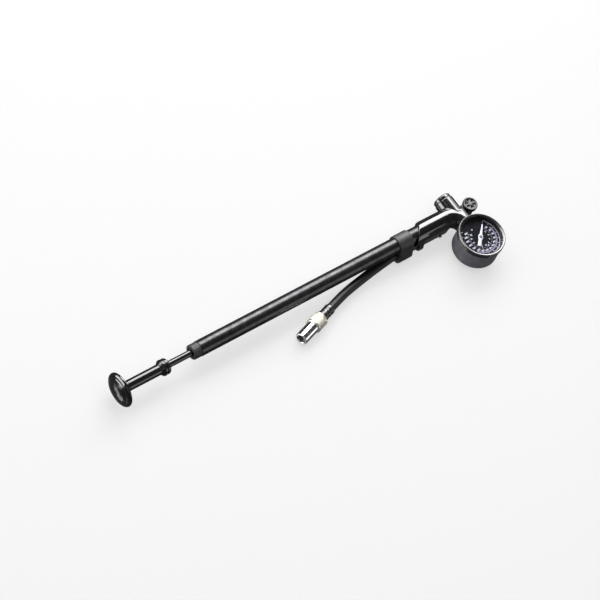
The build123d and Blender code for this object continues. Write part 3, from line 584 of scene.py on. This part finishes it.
DIAL = [
    (6.1, 1.6, 0.05), (6.1, 19.3, 0.1), (DIAL_TOP, 19.3, 0.1), (DIAL_TOP, 1.6, 0.1), (6.1, 1.6)]
on(lathe("dial_plate", rounded(DIAL, 3), "dial_face", **GAUGE_LATHE), "pump_body", "gauge_dial")

# sloping dark ring between the dial's edge and the window
FLANGE = [
    (6.64, 19.25, 0.05), (6.64, 18.3, 0.1), (8.1, 18.75, 0.3), (9.0, 18.95, 0.1),
    (9.0, 19.3, 0.1), (6.64, 19.25)]
on(lathe("dial_flange", rounded(FLANGE, 3), "dial_face", segments=224, **GAUGE_LATHE),
   "pump_body")

# -------------------------------------------------------------------- dial's printing
# Places round the dial are shares of its 270 degree sweep; 12 o'clock is -Y.
PRINT_BASE, PRINT_TOP = DIAL_TOP + 0.01, DIAL_TOP + 0.07
OUTER_SCALE, INNER_SCALE = 17.6, 10.6          # radii where the ticks meet their arcs


def dial_angle(share):
    return math.radians(45.0 - 270.0 * share)


def dial_directions(share):
    """Unit vectors outward and sideways."""
    angle = dial_angle(share)
    outward = Vector((math.cos(angle), math.sin(angle), 0))
    return outward, Vector((-outward.y, outward.x, 0))


def printed(name, verts, faces, material):
    on(build(name, verts, faces, material, sharp=30), "pump_body")


def dial_ring(name, inner, outer, start, end, material, top=PRINT_TOP, steps=120):
    verts = []
    for i in range(steps + 1):
        angle = dial_angle(start + (end - start) * i / steps)
        for r, z in ((inner, PRINT_BASE), (outer, PRINT_BASE), (outer, top), (inner, top)):
            x = GAUGE_X + r * math.cos(angle)
            y = GAUGE_Y + r * math.sin(angle)
            verts.append(Vector((x, y, z)) * MM)
    printed(name, verts, capped(0, steps + 1, 4), material)


def dial_ticks(name, marks):
    """marks: (share, inner radius, outer radius, width)."""
    verts, faces = [], []
    for share, inner, outer, width in marks:
        outward, sideways = dial_directions(share)
        side = sideways * (width / 2)
        faces += capped(len(verts), 2, 4)
        for z in (PRINT_BASE, PRINT_TOP):
            for corner in (outward * inner - side, outward * outer - side,
                           outward * outer + side, outward * inner + side):
                verts.append((Vector((GAUGE_X, GAUGE_Y, z)) + corner) * MM)
    printed(name, verts, faces, "print_white")


def dial_numbers(name, items, size, radius, bold):
    """Digits in low relief, upright on the dial. items: (share, text)."""
    bm = bmesh.new()
    for share, text in items:
        curve = bpy.data.curves.new(name, "FONT")
        curve.body = text
        curve.size = size * MM
        curve.align_x, curve.align_y = "CENTER", "CENTER"
        curve.extrude = 0.03 * MM
        curve.offset = bold * MM
        curve.resolution_u = 6
        label = add_object(name, curve)
        bpy.context.view_layer.update()
        depsgraph = bpy.context.evaluated_depsgraph_get()
        mesh = bpy.data.meshes.new_from_object(label.evaluated_get(depsgraph))
        angle = dial_angle(share)
        x = GAUGE_X + radius * math.cos(angle)
        y = GAUGE_Y + radius * math.sin(angle)
        z = PRINT_BASE + 0.03
        mesh.transform(Matrix((
            (-1, 0, 0, x * MM), (0, -1, 0, y * MM), (0, 0, 1, z * MM), (0, 0, 0, 1))))
        bm.from_mesh(mesh)
        bpy.data.objects.remove(label)
        bpy.data.curves.remove(curve)
        bpy.data.meshes.remove(mesh)
    made = add_object(name, mesh_from(name, bm))
    made.data.materials.append(MATERIALS["print_white"])
    on(made, "pump_body")


# outer scale 0 to 300, every fourth tick long
dial_ticks("dial_ticks", [
    (i / 60, 16.8, OUTER_SCALE, 0.20) if i % 4 else (i / 60, 15.9, OUTER_SCALE, 0.42)
    for i in range(61)])
dial_ring("dial_arc", OUTER_SCALE, OUTER_SCALE + 0.55, 0, 1, "print_white")
dial_numbers("dial_numbers", [(i / 15, str(20 * i)) for i in range(16)],
             size=2.15, radius=12.9, bold=0.11)
dial_ring("dial_band", 14.2, 15.7, 0.10, 0.68, "print_violet", top=PRINT_TOP - 0.02)

# inner scale 0 to 20
dial_ticks("dial_inner_ticks", [
    (i / 20, 9.9, INNER_SCALE, 0.16) if i % 4 else (i / 20, 9.5, INNER_SCALE, 0.3)
    for i in range(21)])
dial_ring("dial_inner_arc", INNER_SCALE, INNER_SCALE + 0.2, 0, 1, "print_violet")
dial_numbers("dial_inner_numbers", [(i / 10, str(2 * i)) for i in range(11)],
             size=1.9, radius=8.4, bold=0.08)

# two small rivets on the dial
RIVET = [
    (PRINT_BASE, 0.0), (PRINT_BASE, 0.75, 0.05), (PRINT_BASE + 0.25, 0.65, 0.15),
    (PRINT_BASE + 0.4, 0.0)]
for i, (dx, dy) in enumerate(((-2.0, 9.7), (2.0, -9.7))):
    on(lathe("dial_rivet_%d" % (i + 1), rounded(RIVET, 4), "print_white",
             origin=(GAUGE_X + dx, GAUGE_Y + dy, 0), axis=Z_AXIS, segments=24,
             slot="dial_face"), "pump_body")

# --------------------------------------------------------------------- gauge pointer
NEEDLE_BASE, NEEDLE_EDGE = 7.60, 7.78
# (along from the hub, half width), from tail to tip
NEEDLE = [
    (-9.6, 0.9), (-8.9, 1.6), (-6.0, 1.6), (-3.0, 1.45), (-1.8, 1.9), (0.0, 2.2),
    (1.8, 1.75), (3.2, 1.05), (8.0, 0.75), (13.2, 0.35), (13.9, 0.08)]


def needle():
    """Tapered blade at zero with a broad tail and a ridged top."""
    outward, sideways = dial_directions(0)
    verts = []
    for along, half in NEEDLE:
        shoulder = NEEDLE_EDGE + half * 0.17
        ridge = NEEDLE_EDGE + half * 0.34
        for side, z in ((-half, NEEDLE_BASE), (-half, NEEDLE_EDGE), (-half * 0.5, shoulder),
                        (0.0, ridge), (half * 0.5, shoulder), (half, NEEDLE_EDGE),
                        (half, NEEDLE_BASE)):
            centre = Vector((GAUGE_X, GAUGE_Y, z))
            verts.append((centre + outward * along + sideways * side) * MM)
    return build("needle", verts, capped(0, len(NEEDLE), 7), "pointer_white", sharp=40)


on(needle(), "pointer_assembly", "pointer")
HUB = [
    (NEEDLE_BASE, 0.0), (NEEDLE_BASE, 1.5, 0.1), (8.55, 1.5, 0.2), (8.78, 1.2, 0.2),
    (8.82, 0.7, 0.2), (8.75, 0.0)]
on(lathe("needle_hub", rounded(HUB, 4), "hub_grey", segments=64, slot="pointer_white",
         **GAUGE_LATHE), "pointer_assembly")


# ---------------------------------------------------------------------- bleed button
def button_radius(along, radius, angle):
    """Twenty-four flutes round the rim."""
    if radius < 6.4 or along < 5.1 or along > 8.0:
        return radius
    return radius - 0.26 * (0.5 - 0.5 * math.cos(24 * angle)) ** 2


def button_dimples(along, radius, angle):
    """Six hollows pressed into the sunk face."""
    inner, outer = 2.2, 4.9
    if along < 7.0 or radius < inner or radius > outer:
        return along
    across = math.sin(math.pi * (radius - inner) / 2.7) ** 0.7
    return along - 0.75 * across * (0.5 - 0.5 * math.cos(6 * angle + 0.6))


BUTTON = [
    (-4.4, 0.0), (-4.4, 1.2, 0.2), (4.8, 1.2, 0.2), (4.8, 6.45, 0.3), (5.1, 6.7, 0.2),
    (8.0, 6.7, 0.5), (8.6, 6.0, 0.5), (8.5, 5.1, 0.2), (7.9, 4.9, 0.2), (7.9, 2.3, 0.2),
    (8.3, 1.9, 0.25), (8.35, 0.0)]
on(lathe("bleed_knob", dense(rounded(BUTTON, 5), 0.3), "button_black", origin=BLEED_CENTRE,
         axis=Z_AXIS, segments=240, radius_at=button_radius, along_at=button_dimples),
   "bleed_valve", "bleed_button")

# ------------------------------------------------------------------------------ hose
hose_end = COUPLER_MOUTH + COUPLER_AXIS * SLEEVE_END
# (x, y) of the joints; the last one lies on the coupler's axis
LAST_JOINT_X = 149.5
last_joint_y = hose_end.y + (LAST_JOINT_X - hose_end.x) * COUPLER_AXIS.y / COUPLER_AXIS.x
JOINTS = [
    (208.0, -4.75), (193.5, -6.4), (179.0, -8.5), (164.0, -10.95), (LAST_JOINT_X, last_joint_y)]
knots = [Vector((x, y, HOSE_Z)) for x, y in JOINTS] + [hose_end]
mids = [(a + b) / 2 for a, b in zip(knots, knots[1:])]
directions = [(b - a).normalized() for a, b in zip(knots, knots[1:])]


def straight(start, end, steps=24):
    return [start + (end - start) * i / steps for i in range(steps + 1)]


def hermite(start, start_direction, end, end_direction, steps):
    """Smooth curve between two points with given directions at its ends."""
    length = (end - start).length
    out = []
    for i in range(steps + 1):
        t = i / steps
        out.append(start * (2 * t**3 - 3 * t**2 + 1)
                   + start_direction * length * (t**3 - 2 * t**2 + t)
                   + end * (-2 * t**3 + 3 * t**2)
                   + end_direction * length * (t**3 - t**2))
    return out


def hose_piece(name, line, travelled, segments=48):
    """Tube along a line; hose_uv holds (mm along the hose, turns round it, 0)."""
    verts, faces, uv = [], [], []
    w = Vector((0, 0, 1))
    for i, point in enumerate(line):
        tangent = (line[min(i + 1, len(line) - 1)] - line[max(i - 1, 0)]).normalized()
        if i:
            travelled += (point - line[i - 1]).length
            faces += band((i - 1) * segments, i * segments, segments)
        u = w.cross(tangent).normalized()
        for j in range(segments):
            a = 2 * math.pi * j / segments
            verts.append((point + (u * math.cos(a) + w * math.sin(a)) * HOSE_RADIUS) * MM)
            uv.append((travelled, j / segments, 0.0))
    made = build(name, verts, faces, "hose_rubber", sharp=60)
    attribute = made.data.attributes.new("hose_uv", "FLOAT_VECTOR", "POINT")
    attribute.data.foreach_set("vector", np.array(uv, np.float32).ravel())
    return made, travelled


hose_start = Vector((HOSE_START_X, HOSE_Y, HOSE_Z))
bend_start = Vector((HOSE_STRAIGHT_X, HOSE_Y, HOSE_Z))
lines = [straight(hose_start, bend_start)[:-1]
         + hermite(bend_start, Vector((-1, 0, 0)), mids[0], directions[0], 24)]
for k in range(1, 5):
    lines.append(hermite(mids[k - 1], directions[k - 1], mids[k], directions[k], 28))
# the last piece runs on straight into the sleeve
lines[-1] += straight(mids[-1], hose_end - COUPLER_AXIS * 9.0)[1:]

travelled = 0.0
for k, line in enumerate(lines):
    piece, travelled = hose_piece("hose_%s" % "abcde"[k], line, travelled)
    if k == 0:
        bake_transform(piece)
        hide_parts("hose_root", "hose_segment_1")
    else:
        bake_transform(piece)
        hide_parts("hose_segment_%d" % (k + 1))

# -------------------------------------------------------------- crimp sleeve, coupler
COUPLER_LATHE = {"origin": COUPLER_MOUTH, "axis": COUPLER_AXIS}


def crimp_radius(along, radius, angle):
    """Eight pinches round each of the sleeve's two grooves."""
    if radius > 4.3 and (33.2 < along < 34.6 or 36.6 < along < 38.0):
        return radius - 0.18 * (0.5 - 0.5 * math.cos(8 * angle))
    return radius


SLEEVE_BORE = HOSE_RADIUS + 0.04
SLEEVE = [
    (29.35, 2.05), (29.35, 4.4, 0.2), (29.9, 5.0, 0.3), (32.4, 5.0, 0.3), (33.0, 4.7, 0.3),
    (34.8, 4.7, 0.3), (35.3, 4.95, 0.3), (36.0, 4.95, 0.3), (36.5, 4.65, 0.3),
    (38.2, 4.65, 0.3), (38.7, 4.95, 0.3), (41.2, 4.9, 0.4), (SLEEVE_END, 4.3, 0.2),
    (SLEEVE_END, SLEEVE_BORE, 0.05), (30.5, SLEEVE_BORE), (30.5, 2.05), (29.35, 2.05)]
on(lathe("crimp_sleeve", dense(rounded(SLEEVE, 4), 0.4), "ferrule_black", segments=144,
         radius_at=crimp_radius, **COUPLER_LATHE), "hose_5", "crimp_ferrule")

NOSE = [
    (16.9, 4.6), (16.9, 5.5, 0.1), (16.3, 5.65, 0.1), (5.2, 5.65, 0.1), (5.0, 5.5, 0.1),
    (4.6, 5.5, 0.1), (4.4, 5.65, 0.1), (-0.4, 5.65, 0.4), (-0.9, 5.2, 0.25),
    (-0.9, 4.3, 0.15), (-0.45, COUPLER_BORE, 0.05), (9.5, COUPLER_BORE), (9.5, 3.3),
    (12.0, 3.3), (12.0, 2.2), (16.9, 2.2), (16.9, 4.6)]
on(lathe("coupler_nose", rounded(NOSE, 5), "chrome_plate", segments=160, **COUPLER_LATHE),
   "coupler", "valve_coupler")

KNURL_START, KNURL_END = 18.2, 26.8


def triangle_wave(x):
    return 1 - abs((x % 1.0) * 2 - 1)


def knurl(along, radius, angle):
    """Diamond knurl: 30 crossing grooves each way, fading out at both ends."""
    if radius < 6.5 or along < KNURL_START or along > KNURL_END:
        return radius
    turn = 30 * angle / (2 * math.pi)
    run = (along - KNURL_START) / 1.45
    height = min(1.0, 1.9 * min(triangle_wave(turn + run), triangle_wave(turn - run)))
    fade = min(1.0, (along - KNURL_START) / 0.4, (KNURL_END - along) / 0.4)
    return radius - 0.42 * (1 - height) * fade


GRIP = [
    (16.2, 5.2), (16.2, 6.3, 0.3), (16.7, 6.9, 0.3), (17.9, 6.9, 0.15), (18.1, 6.9, 0.1),
    (26.9, 6.9, 0.1), (27.1, 6.9, 0.2), (27.8, 6.9, 0.5), (28.9, 5.7, 0.4), (29.0, 4.4, 0.15),
    (29.0, 2.3), (16.2, 2.3), (16.2, 5.2)]
on(lathe("coupler_grip", dense(rounded(GRIP, 4), 0.16), "nickel_knurl",
         segments=360, sharp=60, radius_at=knurl, slot="chrome_plate",
         **COUPLER_LATHE), "coupler")

# thread ribs inside the coupler's bore
THREAD_PITCH = 0.55
ribs = []
for i in range(15):
    ribs += [(0.9 + i * THREAD_PITCH, COUPLER_BORE), (1.17 + i * THREAD_PITCH, 3.62)]
THREAD = [(0.85, 3.9)] + ribs + [(9.2, COUPLER_BORE), (9.2, 3.95), (0.85, 3.95), (0.85, 3.9)]
on(lathe("coupler_thread", THREAD, "thread_dark", segments=96, sharp=30, slot="brass",
         **COUPLER_LATHE), "coupler")


# --------------------------------------------------------------------- valve springs
def coil(name, source):
    """A valve's spring: a copy of the CAD spring that rides on the pump body in its place."""
    made = add_object(name, nodes[source].data.copy())
    on(made, "pump_body", source)
    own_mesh(made)


coil("bleed_coil", "bleed_spring")
coil("check_coil", "check_spring")

# ------------------------------------------------------------------- studio, in metres
FLOOR_Z = -18.1 * MM
mesh = bpy.data.meshes.new("floor")
mesh.from_pydata([(-1.7, -1.9, FLOOR_Z), (2.0, -1.9, FLOOR_Z), (2.0, 1.9, FLOOR_Z),
                  (-1.7, 1.9, FLOOR_Z)], [], [(0, 1, 2, 3)])
floor = add_object("floor", mesh)
floor_material, tree, shader = principled_material("studio_floor")
feed(tree, shader, Base_Color=(0.11, 0.11, 0.11, 1), Roughness=0.7, Specular_IOR_Level=0.0)
mesh.materials.append(floor_material)


def pose(right, up, back, place):
    """World matrix of an object that looks along -back."""
    return Matrix((*zip(right, up, back, place), (0, 0, 0, 1)))


def softbox(name, direction, distance, along, across, radiance, target=(0.16, -0.01, 0.0),
            long_axis=(1, 0, 0)):
    """Area light facing the target from a direction; its side `along` follows long_axis."""
    back = Vector(direction).normalized()
    right = Vector(long_axis)
    right = (right - back * right.dot(back)).normalized()
    light = bpy.data.lights.new(name, "AREA")
    light.shape = "RECTANGLE"
    light.size, light.size_y = along, across
    light.energy = radiance * math.pi * along * across
    made = add_object(name, light)
    place = Vector(target) + back * distance
    made.matrix_world = pose(right, back.cross(right), back, place)
    return made


key = softbox("key", direction=(0.481, 0.574, 0.663), distance=1.6, along=1.5, across=1.05,
              radiance=10.5)
softbox("low_fill", direction=(0.481, -0.864, 0.13), distance=1.6, along=1.2, across=1.0,
        radiance=1.35)
left = softbox("left_key", direction=(-0.22, 0.60, 0.77), distance=1.6, along=1.2, across=0.8,
               radiance=6.0)
end = softbox("end_fill", direction=(-0.88, 0.42, 0.12), distance=1.4, along=1.1, across=0.9,
              radiance=6.5, long_axis=(0.42, 0.88, 0.0))
softbox("left_fill", direction=(-0.75, -0.50, 0.55), distance=1.8, along=0.9, across=0.9,
        radiance=0.4)
behind = softbox("back_fill", direction=(-0.60, 0.80, 0.25), distance=1.8, along=0.9,
                 across=0.7, radiance=0.8)
softbox("right_fill", direction=(0.90, 0.20, 0.36), distance=1.6, along=0.7, across=0.9,
        radiance=2.1, long_axis=(0, 1, 0))
# stands in for light coming back up from the floor, onto the undersides and the knob's face
softbox("bounce", direction=(-0.639, 0.169, -0.751), distance=1.4, along=0.9, across=0.45,
        radiance=1.3, target=(-0.085, 0.0, 0.0), long_axis=(0.0, 0.6, 0.8))
# lights only the floor, so that it stays pale under the object
wash = softbox("floor_wash", direction=(0.0, 0.0, 1.0), distance=2.5, along=4.0, across=4.0,
               radiance=15.4)
floor_only = bpy.data.collections.new("floor_only")
floor_only.objects.link(floor)
wash.light_linking.receiver_collection = floor_only
wash.light_linking.blocker_collection = floor_only
# the gauge's window is left out of these lights, so that their reflections don't hide the dial
window_only = bpy.data.collections.new("window_only")
window_only.objects.link(lens)
for lamp in (key, left, end, behind):
    lamp.light_linking.receiver_collection = window_only
window_only.collection_objects[0].light_linking.link_state = "EXCLUDE"
floor.visible_glossy = False
floor.visible_shadow = False

# dim light on the object; seen directly, past the floor's edge, the room is pale
world = bpy.data.worlds.new("studio")
bpy.context.scene.world = world
world.use_nodes = True
tree = world.node_tree
dim = tree.nodes["Background"]
feed(tree, dim, Color=(1, 1, 1, 1), Strength=0.06)
pale = node(tree, "ShaderNodeBackground", Color=(0.80, 0.80, 0.80, 1))
seen = node(tree, "ShaderNodeLightPath").outputs["Is Camera Ray"]
either = node(tree, "ShaderNodeMixShader")
for i, source in enumerate((seen, dim.outputs[0], pale.outputs[0])):
    plug(tree, either.inputs[i], source)
feed(tree, tree.nodes["World Output"], Surface=either.outputs[0])

# ---------------------------------------------------------------------------- camera
right = Vector((0.77584, -0.57788, 0.25323))
right.normalize()
back = Vector((-0.48110, -0.28220, 0.83000))
back = (back - right * back.dot(right)).normalized()
up = back.cross(right)
VIEW_RISE, VIEW_DISTANCE = 0.00040, 2.6
view_centre = Vector((138.265, 15.331, -56.655)) * MM + up * VIEW_RISE
lens_data = bpy.data.cameras.new("camera")
lens_data.lens = 180.492
lens_data.sensor_width = 36.0
lens_data.clip_start, lens_data.clip_end = 0.05, 20.0
camera = add_object("camera", lens_data)
camera.matrix_world = pose(right, up, back, view_centre + back * VIEW_DISTANCE)
bpy.context.scene.camera = camera
bpy.context.scene.view_settings.view_transform = "Standard"
